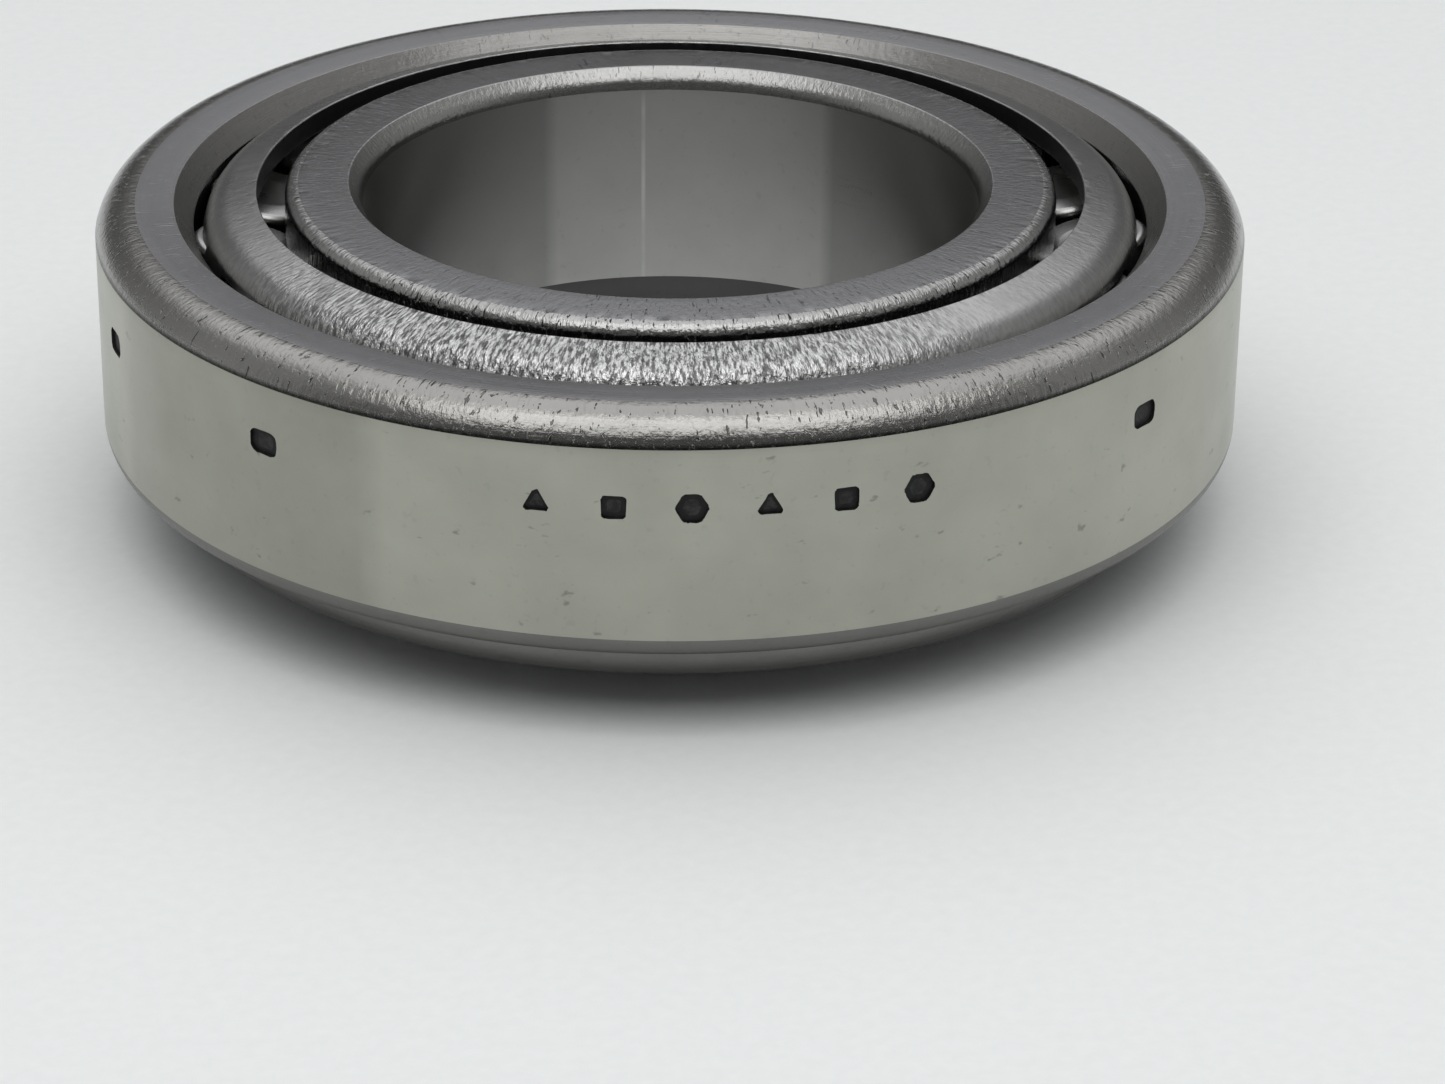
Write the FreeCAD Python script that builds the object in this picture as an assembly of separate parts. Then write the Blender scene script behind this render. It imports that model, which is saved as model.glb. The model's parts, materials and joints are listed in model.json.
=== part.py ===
import FreeCAD, Part
import math
import os

# Tapered roller bearing, single row, small end up.
# The cone's back face lies in the plane Z = 0, and the bearing's axis is the Z axis.
# Lengths are in millimetres and angles in degrees.

# Boundary dimensions
BORE_DIAMETER = 26.988
CUP_DIAMETER = 50.292
BEARING_WIDTH = 14.224
CONE_WIDTH = 14.732
CUP_WIDTH = 10.668

# Taper geometry: both raceways and every roller axis meet in one point on the bearing's axis
CUP_ANGLE = 13.86
CUP_RACEWAY_RADIUS_AT_BACK_FACE = 20.60

# Rollers
ROLLER_COUNT = 19
ROLLER_LENGTH = 9.3
ROLLER_SMALL_END_DIAMETER = 5.24
ROLLER_SMALL_END_PITCH_RADIUS = 18.38
ROLLER_CORNER = 0.4
ROLLER_CLEARANCE = 0.03
FIRST_ROLLER_ANGLE = -2.75

# Cup
CUP_BACK_CORNER_HEIGHT = 1.36
CUP_BACK_CORNER_BREAK = 15.0
CUP_FRONT_CORNER = 0.95
CUP_MOUTH_CHAMFER_WIDTH = 0.82
CUP_MOUTH_CHAMFER_HEIGHT = 1.1
CUP_FRONT_EASING = 0.3

# Cone
CONE_BORE_BACK_CORNER = 4.4
CONE_BORE_FRONT_CHAMFER = 0.6
SMALL_RIB_RADIUS = 16.9
SMALL_RIB_CORNER = 0.6
SMALL_RIB_END_GAP = 0.25
LARGE_RIB_RADIUS = 19.2
LARGE_RIB_CORNER = 0.4
RIB_CLEARANCE = 0.05
UNDERCUT = 0.2

# Cage
CAGE_THICKNESS = 1.0
CAGE_TO_RACEWAY = 0.45
CAGE_TOP = 14.5
CAGE_MOUTH_RADIUS = 18.1
CAGE_FLANGE_SLOPE = 15.0
CAGE_FLANGE_BEND = 1.5
CAGE_BOTTOM = 1.6
CAGE_LIP_RADIUS = 22.45
CAGE_LIP_SLOPE = 35.0
CAGE_LIP_BEND = 1.6
CAGE_EDGE_EASING = 0.15
POCKET_SIDE_CLEARANCE = 0.12
POCKET_END_CLEARANCE = 0.15

# Marks pressed into the outside of the cup: plain shapes in one row, and dashes beside them
MARK_DEPTH = 0.15
MARK_BELOW_BACK_FACE = 3.88
MARK_RADIUS = 0.72
MARK_ROW_CENTRE = -84.4
MARK_PITCH = 7.1
MARK_SIDES = (3, 4, 6, 3, 4, 6)
DASH_ANGLES = (-159.7, -131.0, -38.8)
DASH_LENGTH = 1.5
DASH_HEIGHT = 1.05

# Derived values
BORE_RADIUS = BORE_DIAMETER / 2
CUP_RADIUS = CUP_DIAMETER / 2
CUP_BACK_Z = BEARING_WIDTH
CUP_FRONT_Z = BEARING_WIDTH - CUP_WIDTH
CUP_TAPER = math.tan(math.radians(CUP_ANGLE))
APEX_Z = CUP_BACK_Z + CUP_RACEWAY_RADIUS_AT_BACK_FACE / CUP_TAPER


def roller_half_angle():
    """Half-angle of the roller's cone, from its small end's size and its distance to the apex."""
    sine = ROLLER_SMALL_END_DIAMETER / 2 / ROLLER_SMALL_END_PITCH_RADIUS
    half_angle = 0.0
    for _ in range(20):
        axis_angle = math.radians(CUP_ANGLE) - half_angle
        half_angle = math.atan(sine * math.sin(axis_angle))
    return math.degrees(half_angle)


ROLLER_HALF_ANGLE = roller_half_angle()
ROLLER_TILT = CUP_ANGLE - ROLLER_HALF_ANGLE
CONE_ANGLE = ROLLER_TILT - ROLLER_HALF_ANGLE
CONE_TAPER = math.tan(math.radians(CONE_ANGLE))
ROLLER_TAPER = math.tan(math.radians(ROLLER_HALF_ANGLE))
ROLLER_SMALL_END_Z = APEX_Z - ROLLER_SMALL_END_PITCH_RADIUS / math.tan(math.radians(ROLLER_TILT))
AXIS_R = -math.sin(math.radians(ROLLER_TILT))
AXIS_Z = math.cos(math.radians(ROLLER_TILT))
ROLLER_LARGE_END_R = ROLLER_SMALL_END_PITCH_RADIUS - ROLLER_LENGTH * AXIS_R
ROLLER_LARGE_END_Z = ROLLER_SMALL_END_Z - ROLLER_LENGTH * AXIS_Z


def cup_raceway_radius(z):
    return (APEX_Z - z) * CUP_TAPER


def cone_raceway_radius(z):
    return (APEX_Z - z) * CONE_TAPER


def cross_point(a, a_direction, b, b_direction):
    """Where the line from a meets the line from b, in the (radius, z) plane."""
    turn = a_direction[0] * b_direction[1] - a_direction[1] * b_direction[0]
    along = ((b[0] - a[0]) * b_direction[1] - (b[1] - a[1]) * b_direction[0]) / turn
    return (a[0] + along * a_direction[0], a[1] + along * a_direction[1])


def vector(point):
    return FreeCAD.Vector(point[0], 0, point[1])


def rounded_corner(before, corner, after, radius):
    """Start, middle and end of the arc that rounds one corner of an outline."""
    into = (vector(before) - vector(corner)).normalize()
    out = (vector(after) - vector(corner)).normalize()
    half_turn = into.getAngle(out) / 2
    reach = radius / math.tan(half_turn)
    centre_distance = radius / math.sin(half_turn)
    bisector = (into + out).normalize()
    start = vector(corner) + into * reach
    middle = vector(corner) + bisector * (centre_distance - radius)
    end = vector(corner) + out * reach
    return start, middle, end


def revolved(outline):
    """Solid turned about the Z axis. The outline's points are (radius, z, corner radius)."""
    arcs = []
    for index, (r, z, corner) in enumerate(outline):
        before = outline[index - 1]
        after = outline[(index + 1) % len(outline)]
        if corner > 0:
            arcs.append(rounded_corner(before, (r, z), after, corner))
        else:
            arcs.append((vector((r, z)),))
    edges = []
    for index, arc in enumerate(arcs):
        if len(arc) == 3:
            edges.append(Part.Arc(*arc).toShape())
        following = arcs[(index + 1) % len(arcs)][0]
        if arc[-1].distanceToPoint(following) > 1e-6:
            edges.append(Part.LineSegment(arc[-1], following).toShape())
    face = Part.Face(Part.Wire(edges))
    return face.revolve(FreeCAD.Vector(0, 0, 0), FreeCAD.Vector(0, 0, 1), 360)


def mark_prism(points, angle):
    """Prism that cuts one mark, with its outline in the (tangent, z) plane at the cup's outside."""
    z = CUP_BACK_Z - MARK_BELOW_BACK_FACE
    floor = CUP_RADIUS - MARK_DEPTH
    corners = [FreeCAD.Vector(floor, side, z + height) for side, height in points]
    face = Part.Face(Part.makePolygon(corners + corners[:1]))
    prism = face.extrude(FreeCAD.Vector(1, 0, 0))
    prism.rotate(FreeCAD.Vector(0, 0, 0), FreeCAD.Vector(0, 0, 1), angle)
    return prism


def regular_outline(sides):
    """Regular polygon that stands on one side."""
    first = -90 + 180 / sides
    angles = [math.radians(first + 360 * index / sides) for index in range(sides)]
    return [(MARK_RADIUS * math.cos(a), MARK_RADIUS * math.sin(a)) for a in angles]


def cup_marks():
    prisms = []
    first_angle = MARK_ROW_CENTRE - MARK_PITCH * (len(MARK_SIDES) - 1) / 2
    for index, sides in enumerate(MARK_SIDES):
        prisms.append(mark_prism(regular_outline(sides), first_angle + MARK_PITCH * index))
    half_length = DASH_LENGTH / 2
    half_height = DASH_HEIGHT / 2
    dash = [(-half_length, -half_height), (half_length, -half_height),
            (half_length, half_height), (-half_length, half_height)]
    for angle in DASH_ANGLES:
        prisms.append(mark_prism(dash, angle))
    return prisms


def make_cup():
    """Outer ring: its back face is up and has the large rounded corner.

    The outside was ground after the corner was turned, so it cuts the corner's arc at a slight angle.
    """
    wall_top_z = CUP_BACK_Z - CUP_BACK_CORNER_HEIGHT
    corner_reach = CUP_BACK_CORNER_HEIGHT / math.cos(math.radians(CUP_BACK_CORNER_BREAK))
    corner_inset = CUP_BACK_CORNER_HEIGHT * math.tan(math.radians(CUP_BACK_CORNER_BREAK))
    corner_radius = corner_reach * math.tan(math.radians(45 + CUP_BACK_CORNER_BREAK / 2))
    mouth_z = CUP_BACK_Z - CUP_MOUTH_CHAMFER_HEIGHT
    mouth_radius = cup_raceway_radius(mouth_z)
    easing_z = CUP_FRONT_Z + CUP_FRONT_EASING
    easing_radius = cup_raceway_radius(easing_z)
    outline = [
        (CUP_RADIUS, CUP_FRONT_Z, CUP_FRONT_CORNER),
        (CUP_RADIUS, wall_top_z, 0),
        (CUP_RADIUS - corner_inset, CUP_BACK_Z, corner_radius),
        (mouth_radius + CUP_MOUTH_CHAMFER_WIDTH, CUP_BACK_Z, 0),
        (mouth_radius, mouth_z, 0),
        (easing_radius, easing_z, 0),
        (easing_radius + CUP_FRONT_EASING, CUP_FRONT_Z, 0),
    ]
    return revolved(outline).cut(cup_marks())


def make_cone():
    """Inner ring: raceway between a small rib above and the large rib that guides the rollers."""
    race_bottom_z = ROLLER_LARGE_END_Z
    race_top_z = ROLLER_SMALL_END_Z
    across = (AXIS_Z, -AXIS_R)
    along_race = (-CONE_TAPER, 1)
    race_point = (cone_raceway_radius(race_bottom_z), race_bottom_z)
    large_end = (ROLLER_LARGE_END_R - RIB_CLEARANCE * AXIS_R, ROLLER_LARGE_END_Z - RIB_CLEARANCE * AXIS_Z)
    small_end = (ROLLER_SMALL_END_PITCH_RADIUS + SMALL_RIB_END_GAP * AXIS_R,
                 race_top_z + SMALL_RIB_END_GAP * AXIS_Z)
    large_root = cross_point(race_point, along_race, large_end, across)
    small_root = cross_point(race_point, along_race, small_end, across)
    large_top = cross_point(large_end, across, (LARGE_RIB_RADIUS, 0), (0, 1))
    small_bottom = cross_point(small_end, across, (SMALL_RIB_RADIUS, 0), (0, 1))
    outline = [
        (BORE_RADIUS, 0, CONE_BORE_BACK_CORNER),
        (LARGE_RIB_RADIUS, 0, LARGE_RIB_CORNER),
        (large_top[0], large_top[1], LARGE_RIB_CORNER / 2),
        (large_root[0] + UNDERCUT, large_root[1] + UNDERCUT * CONE_TAPER, 0),
        (large_root[0] - UNDERCUT, large_root[1] - UNDERCUT / 2, UNDERCUT / 2),
        (large_root[0] - UNDERCUT * CONE_TAPER, large_root[1] + UNDERCUT, 0),
        (small_root[0] + UNDERCUT * CONE_TAPER, small_root[1] - UNDERCUT, 0),
        (small_root[0] - UNDERCUT, small_root[1] + UNDERCUT / 2, UNDERCUT / 2),
        (small_root[0] + UNDERCUT, small_root[1] + UNDERCUT * CONE_TAPER, 0),
        (small_bottom[0], small_bottom[1], SMALL_RIB_CORNER / 3),
        (SMALL_RIB_RADIUS, CONE_WIDTH, SMALL_RIB_CORNER),
        (BORE_RADIUS + CONE_BORE_FRONT_CHAMFER, CONE_WIDTH, 0),
        (BORE_RADIUS, CONE_WIDTH - CONE_BORE_FRONT_CHAMFER, 0),
    ]
    return revolved(outline)


def roller_blank(clearance, end_clearance, corner):
    """Roller shape on the Z axis with its large end at Z = 0, grown by the two clearances."""
    small_radius = ROLLER_SMALL_END_DIAMETER / 2 + clearance
    bottom = -end_clearance
    top = ROLLER_LENGTH + end_clearance
    large_radius = small_radius + (ROLLER_LENGTH + end_clearance) * ROLLER_TAPER
    top_radius = small_radius - end_clearance * ROLLER_TAPER
    return revolved([(0, bottom, 0), (large_radius, bottom, corner), (top_radius, top, corner), (0, top, 0)])


def in_roller_place(shape, index):
    """Tilts a shape from the Z axis to a roller's axis and turns it to the roller's angle."""
    placed = shape.copy()
    origin = FreeCAD.Vector(0, 0, 0)
    placed.rotate(origin, FreeCAD.Vector(0, 1, 0), -ROLLER_TILT)
    placed.translate(FreeCAD.Vector(ROLLER_LARGE_END_R, 0, ROLLER_LARGE_END_Z))
    angle = FIRST_ROLLER_ANGLE + 360 * index / ROLLER_COUNT
    placed.rotate(origin, FreeCAD.Vector(0, 0, 1), angle)
    return placed


def make_roller(index):
    return in_roller_place(roller_blank(-ROLLER_CLEARANCE, 0, ROLLER_CORNER), index)


def offset_path(points, distance):
    """The same open path moved sideways by a distance, with its corners kept sharp."""
    lines = []
    for start, end in zip(points, points[1:]):
        length = math.hypot(end[0] - start[0], end[1] - start[1])
        direction = ((end[0] - start[0]) / length, (end[1] - start[1]) / length)
        moved = (start[0] - distance * direction[1], start[1] + distance * direction[0])
        lines.append((moved, direction, length))
    moved_points = [lines[0][0]]
    for (a, a_direction, _), (b, b_direction, _) in zip(lines, lines[1:]):
        moved_points.append(cross_point(a, a_direction, b, b_direction))
    last, direction, length = lines[-1]
    moved_points.append((last[0] + length * direction[0], last[1] + length * direction[1]))
    return moved_points


def make_cage():
    """Pressed steel shell parallel to the cup's raceway, with a flange, a lip and the pockets.

    The mouth in the flange is bored parallel to the bearing's axis.
    """
    wall = (CUP_RACEWAY_RADIUS_AT_BACK_FACE - CAGE_TO_RACEWAY / math.cos(math.radians(CUP_ANGLE)), CUP_BACK_Z)
    lip_end = (CAGE_LIP_RADIUS, CAGE_BOTTOM)
    mouth = (CAGE_MOUTH_RADIUS, CAGE_TOP)
    lip_direction = (math.sin(math.radians(CAGE_LIP_SLOPE)), math.cos(math.radians(CAGE_LIP_SLOPE)))
    flange_direction = (-math.cos(math.radians(CAGE_FLANGE_SLOPE)), math.sin(math.radians(CAGE_FLANGE_SLOPE)))
    wall_direction = (-CUP_TAPER, 1)
    lip_corner = cross_point(lip_end, lip_direction, wall, wall_direction)
    flange_corner = cross_point(wall, wall_direction, mouth, flange_direction)
    outside = [lip_end, lip_corner, flange_corner, mouth]
    inside = offset_path(outside, CAGE_THICKNESS)
    inside[-1] = cross_point(inside[-1], flange_direction, mouth, (0, 1))
    inner_bends = (0, CAGE_LIP_BEND - CAGE_THICKNESS, CAGE_FLANGE_BEND - CAGE_THICKNESS, 0)
    outer_bends = (0, CAGE_LIP_BEND, CAGE_FLANGE_BEND, 0)
    edge = CAGE_EDGE_EASING
    outline = [(r, z, bend or edge) for (r, z), bend in zip(outside, outer_bends)]
    outline += [(r, z, bend or edge) for (r, z), bend in reversed(list(zip(inside, inner_bends)))]
    shell = revolved(outline)
    pocket = roller_blank(POCKET_SIDE_CLEARANCE, POCKET_END_CLEARANCE, 0)
    return shell.cut([in_roller_place(pocket, index) for index in range(ROLLER_COUNT)])


def write_parts():
    os.makedirs("parts", exist_ok=True)
    nodes = {"cup": make_cup(), "cone": make_cone(), "cage": make_cage()}
    for index in range(ROLLER_COUNT):
        nodes[f"roller_{index + 1:02d}"] = make_roller(index)
    for name, shape in nodes.items():
        if not shape.isValid() or len(shape.Solids) != 1:
            raise ValueError(f"{name} is not one valid solid")
        shape.Solids[0].exportStep(f"parts/{name}.step")


write_parts()
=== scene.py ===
import json
import math

import bmesh
import bpy
import numpy as np
from mathutils import Matrix, Vector


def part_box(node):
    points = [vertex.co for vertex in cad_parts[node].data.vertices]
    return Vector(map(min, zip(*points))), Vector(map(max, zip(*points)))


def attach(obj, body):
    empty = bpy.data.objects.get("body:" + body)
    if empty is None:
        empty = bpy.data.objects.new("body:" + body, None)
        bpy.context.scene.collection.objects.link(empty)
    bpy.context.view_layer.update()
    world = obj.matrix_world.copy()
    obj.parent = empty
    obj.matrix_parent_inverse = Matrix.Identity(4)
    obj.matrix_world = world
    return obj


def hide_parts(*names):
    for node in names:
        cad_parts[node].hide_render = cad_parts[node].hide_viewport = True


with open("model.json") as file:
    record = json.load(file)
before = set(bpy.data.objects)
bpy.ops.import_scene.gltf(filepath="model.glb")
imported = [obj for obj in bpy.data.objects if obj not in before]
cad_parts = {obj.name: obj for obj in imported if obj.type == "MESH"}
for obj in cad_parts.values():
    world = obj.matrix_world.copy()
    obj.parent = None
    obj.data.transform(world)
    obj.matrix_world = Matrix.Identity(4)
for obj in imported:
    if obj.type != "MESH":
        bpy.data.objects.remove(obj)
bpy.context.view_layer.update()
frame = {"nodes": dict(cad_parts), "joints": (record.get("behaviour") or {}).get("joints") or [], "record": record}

# Looks of the tapered roller bearing. Outlines are in millimetres and are scaled to metres by MM.
MM = 0.001
SEED = 7
SHARP_TURN = math.radians(28)
AROUND_RING = 1024


# ---------------------------------------------------------------- sizes read from the frame

def node_size(node):
    """Outer radius, lowest and highest point of a CAD node that turns about Z, in millimetres."""
    low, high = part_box(node)
    return high.x / MM, low.z / MM, high.z / MM


def mount_size(name):
    """Radius, lowest and highest point of a round mount's wall, in millimetres."""
    mount = next(m for m in frame["record"]["mounts"] if m["name"] == name)
    half = mount["dims"]["length_mm"] / 2
    middle = mount["pos_m"][2] / MM
    return mount["dims"]["r_mm"], middle - half, middle + half


def joint_named(name):
    return next(j for j in frame["joints"] if j["name"] == name)


CUP_R, CUP_FRONT_Z, CUP_BACK_Z = node_size("cup")
CONE_RIB_R, CONE_BACK_Z, CONE_FRONT_Z = node_size("cone")
BORE_R, BORE_WALL_LOW, BORE_WALL_HIGH = mount_size("bore")
CUP_WALL_LOW, CUP_WALL_HIGH = mount_size("cup_outside")[1:]
ROLLERS = sorted(n for n in frame["nodes"] if n.startswith("roller_"))

# Taper geometry: the raceways' cones and the rollers' axes share one apex
CUP_ANGLE = math.radians(13.86)
CUP_TAPER = math.tan(CUP_ANGLE)
RACE_R_AT_BACK = 20.60
APEX_Z = CUP_BACK_Z + RACE_R_AT_BACK / CUP_TAPER
ROLLER_AXIS = Vector(joint_named("roller_01_spin")["axis"])
ROLLER_BASE = Vector(joint_named("roller_01_spin")["pos_m"]) / MM
ROLLER_TILT = math.acos(ROLLER_AXIS.z)
ROLLER_HALF_ANGLE = CUP_ANGLE - ROLLER_TILT
CONE_TAPER = math.tan(ROLLER_TILT - ROLLER_HALF_ANGLE)
ROLLER_LENGTH = 9.3
ROLLER_SMALL_R = 2.59
ROLLER_LARGE_R = ROLLER_SMALL_R + ROLLER_LENGTH * math.tan(ROLLER_HALF_ANGLE)


# ---------------------------------------------------------------- mesh helpers

def corner_arc(before, corner, after, radius, steps):
    """Points of the arc that rounds a corner of an outline."""
    before, corner, after = Vector(before), Vector(corner), Vector(after)
    into = (before - corner).normalized()
    out = (after - corner).normalized()
    half_turn = into.angle(out) / 2
    start = corner + into * radius / math.tan(half_turn)
    end = corner + out * radius / math.tan(half_turn)
    centre = corner + (into + out).normalized() * radius / math.sin(half_turn)
    first = start - centre
    sweep = first.angle_signed(end - centre)
    points = []
    for step in range(steps + 1):
        turned = first.copy()
        turned.rotate(Matrix.Rotation(-sweep * step / steps, 2))
        points.append(centre + turned)
    return points


def widest_radius(before, corner, after):
    """Radius of the arc that rounds a corner and starts right at the point before it."""
    into = Vector(before) - Vector(corner)
    out = Vector(after) - Vector(corner)
    return into.length * math.tan(into.angle(out) / 2)


def dense_outline(outline, spacing, steps):
    """Points along a closed outline, and the finish of the stretch after each point.

    The outline's items are (r, z, corner radius, finish). A finish is that of the corner and of the
    straight stretch after it; a pair gives one for each.
    """
    rounded = []
    for index, (r, z, radius, finish) in enumerate(outline):
        before = outline[index - 1][:2]
        after = outline[(index + 1) % len(outline)][:2]
        on_corner, after_corner = finish if isinstance(finish, tuple) else (finish, finish)
        points = [Vector((r, z))]
        if radius > 0:
            points = corner_arc(before, (r, z), after, radius, steps)
        rounded.append((points, on_corner, after_corner))
    points, finishes = [], []
    for index, (arc, on_corner, after_corner) in enumerate(rounded):
        points += arc
        finishes += [on_corner] * (len(arc) - 1)
        target = rounded[(index + 1) % len(rounded)][0][0]
        length = (target - arc[-1]).length
        pieces = max(1, round(length / spacing))
        for piece in range(1, pieces):
            points.append(arc[-1].lerp(target, piece / pieces))
        finishes += [after_corner] * pieces
    return points, finishes


def lathe(name, outline, spacing, steps, relief):
    """Mesh object turned about Z from a closed outline. relief gives how deep each point lies."""
    segments = AROUND_RING
    points, finishes = dense_outline(outline, spacing, steps)
    materials = sorted(set(finishes))
    r = np.array([p.x for p in points])
    z = np.array([p.y for p in points])
    angle = np.linspace(0, 2 * math.pi, segments, endpoint=False)
    radii = np.repeat(r[:, None], segments, axis=1)
    heights = np.repeat(z[:, None], segments, axis=1)
    ahead = np.stack([np.roll(r, -1) - np.roll(r, 1), np.roll(z, -1) - np.roll(z, 1)])
    ahead /= np.linalg.norm(ahead, axis=0)
    depth = relief(r, z, angle)
    radii = radii - depth * ahead[1][:, None]
    heights = heights + depth * ahead[0][:, None]
    places = np.stack([radii * np.cos(angle), radii * np.sin(angle), heights], axis=-1)
    places = (places.reshape(-1, 3) * MM).round(8)
    count = len(points)
    faces, slots = [], []
    for i in range(count):
        ring, following = i * segments, (i + 1) % count * segments
        for k in range(segments):
            m = (k + 1) % segments
            faces.append((ring + k, ring + m, following + m, following + k))
            slots.append(materials.index(finishes[i]))
    mesh = bpy.data.meshes.new(name)
    mesh.from_pydata(places.tolist(), [], faces)
    for material in materials:
        mesh.materials.append(FINISHES[material])
    mesh.polygons.foreach_set("material_index", slots)
    return finish_mesh(name, mesh)


def mark_sharp_edges(mesh, turn_outward=False):
    """Smooth faces, and sharp edges where the surface turns. Can turn all the normals outward first."""
    work = bmesh.new()
    work.from_mesh(mesh)
    if turn_outward:
        bmesh.ops.recalc_face_normals(work, faces=work.faces)
    for face in work.faces:
        face.smooth = True
    for edge in work.edges:
        edge.smooth = edge.calc_face_angle(0.0) < SHARP_TURN
    work.to_mesh(mesh)
    work.free()


def finish_mesh(name, mesh):
    """Puts a mesh in the scene with outward normals, smooth faces and sharp edges where it turns."""
    mark_sharp_edges(mesh, turn_outward=True)
    piece = bpy.data.objects.new(name, mesh)
    bpy.context.scene.collection.objects.link(piece)
    return piece


def smooth_noise(shape, cells, rng):
    """Random values from -1 to 1 on a grid of points along an outline and around the axis."""
    grid = rng.uniform(-1, 1, cells)
    along = np.linspace(0, cells[0] - 1.001, shape[0])
    around = np.linspace(0, cells[1], shape[1], endpoint=False)
    row, column = along.astype(int), around.astype(int)
    row_blend = ((along - row) ** 2 * (3 - 2 * (along - row)))[:, None]
    column_blend = ((around - column) ** 2 * (3 - 2 * (around - column)))[None, :]
    next_row = np.minimum(row + 1, cells[0] - 1)
    next_column = (column + 1) % cells[1]

    def along_row(index):
        return grid[index][:, column] * (1 - column_blend) + grid[index][:, next_column] * column_blend

    return along_row(row) * (1 - row_blend) + along_row(next_row) * row_blend


def worn_relief(waviness, dents, seed, where=None):
    """Relief of long shallow waves and small dents, in millimetres.

    where limits it to part of the outline.
    """
    waves_around = 90

    def relief(r, z, angle):
        rng = np.random.default_rng(seed)
        shape = (len(r), len(angle))
        wave_cells = (max(3, len(r) // 6), waves_around)
        dent_cells = (max(3, len(r) // 2), len(angle) // 2)
        depth = smooth_noise(shape, wave_cells, rng) * waviness
        depth = depth + smooth_noise(shape, dent_cells, rng) * dents
        depth = np.abs(depth)
        if where is not None:
            depth = depth * where(r, z)[:, None]
        return depth
    return relief


def cut(piece, cutter):
    """Boolean difference, applied; the cut faces keep the cutter's material."""
    modifier = piece.modifiers.new("cut", "BOOLEAN")
    modifier.object = cutter
    modifier.operation = "DIFFERENCE"
    modifier.solver = "EXACT"
    modifier.material_mode = "TRANSFER"
    depsgraph = bpy.context.evaluated_depsgraph_get()
    result = bpy.data.meshes.new_from_object(piece.evaluated_get(depsgraph))
    piece.modifiers.clear()
    old, piece.data = piece.data, result
    bpy.data.meshes.remove(old)
    bpy.data.objects.remove(cutter)
    mark_sharp_edges(piece.data)


# ---------------------------------------------------------------- materials

# The Mix node's color sockets
COLOR_A, COLOR_B, COLOR_RESULT = 6, 7, 2


class Nodes:
    """Short way to build one material's node tree."""

    def __init__(self, name):
        self.material = bpy.data.materials.new(name)
        self.material.use_nodes = True
        self.tree = self.material.node_tree
        self.shader = self.tree.nodes["Principled BSDF"]

    def add(self, kind, inputs=None, **settings):
        """Adds a node; inputs maps a socket's name or number to a value or another socket."""
        node = self.tree.nodes.new("ShaderNode" + kind)
        for key, value in settings.items():
            setattr(node, key, value)
        self.feed(node, inputs or {})
        return node

    def feed(self, node, inputs):
        for key, value in inputs.items():
            if isinstance(value, bpy.types.NodeSocket):
                self.tree.links.new(value, node.inputs[key])
            else:
                node.inputs[key].default_value = value

    def math(self, operation, a, b=0.0):
        return self.add("Math", {0: a, 1: b}, operation=operation).outputs[0]

    def noise(self, vector, scale, detail=2.0, roughness=0.5):
        made = self.add("TexNoise", {"Vector": vector, "Scale": scale, "Detail": detail,
                                     "Roughness": roughness})
        return made.outputs["Fac"]

    def spread(self, value, low, high, to_low=0.0, to_high=1.0):
        """Maps a value from low..high to to_low..to_high, clamped."""
        made = self.add("MapRange", {"Value": value, "From Min": low, "From Max": high,
                                     "To Min": to_low, "To Max": to_high})
        return made.outputs["Result"]

    def blend(self, factor, a, b):
        made = self.add("Mix", {"Factor": factor, COLOR_A: a, COLOR_B: b}, data_type="RGBA")
        return made.outputs[COLOR_RESULT]

    def bump(self, height, strength, distance, normal=None):
        inputs = {"Height": height, "Strength": strength, "Distance": distance}
        if normal is not None:
            inputs["Normal"] = normal
        return self.add("Bump", inputs).outputs["Normal"]

    def turned_coordinates(self, lean):
        """Position, unit vector around the axis, and a measure along the outline in millimetres.

        The measure is height plus lean times radius, so that it keeps rising round a corner.
        """
        place = self.add("TexCoord").outputs["Object"]
        parts = self.add("SeparateXYZ", {0: place})
        flat = self.add("CombineXYZ", {0: parts.outputs[0], 1: parts.outputs[1]}).outputs[0]
        around = self.add("VectorMath", {0: flat}, operation="NORMALIZE").outputs[0]
        length = self.add("VectorMath", {0: flat}, operation="LENGTH").outputs["Value"]
        rise = self.math("ADD", parts.outputs[2], self.math("MULTIPLY", length, lean))
        return place, around, self.math("DIVIDE", rise, MM)

    def stretched(self, around, along, around_cells, along_cells):
        """Texture vector with so many cells in each radian around and in each millimetre along."""
        ring = self.add("VectorMath", {0: around, 3: around_cells}, operation="SCALE").outputs[0]
        lift = self.math("MULTIPLY", along, along_cells)
        rise = self.add("CombineXYZ", {2: lift}).outputs[0]
        return self.add("VectorMath", {0: ring, 1: rise}, operation="ADD").outputs[0]

    def facing(self, around, degrees):
        """Cosine of the angle between a place's direction from the axis and a given direction."""
        turn = math.radians(degrees)
        toward = (math.cos(turn), math.sin(turn), 0)
        made = self.add("VectorMath", {0: around, 1: toward}, operation="DOT_PRODUCT")
        return made.outputs["Value"]


def shade(color, factor):
    return tuple(c * factor for c in color) + (1.0,)


def cosine(degrees):
    return math.cos(math.radians(degrees))


# Depths of the fine detail that the materials add to the surface, in metres
PEEL_DEPTH = 0.00003
FACET_DEPTH = 0.00011
FLECK_DEPTH = 0.00008
CRUST_DEPTH = 0.00005
FLOOR_GRAIN_DEPTH = 0.0001
GRAIN_DEPTH = 0.00001
LINE_DEPTH = 0.00002
DENT_DEPTH = 0.00016
CHATTER_DEPTH = 0.0001
NICK_DEPTH = 0.00006


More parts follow.
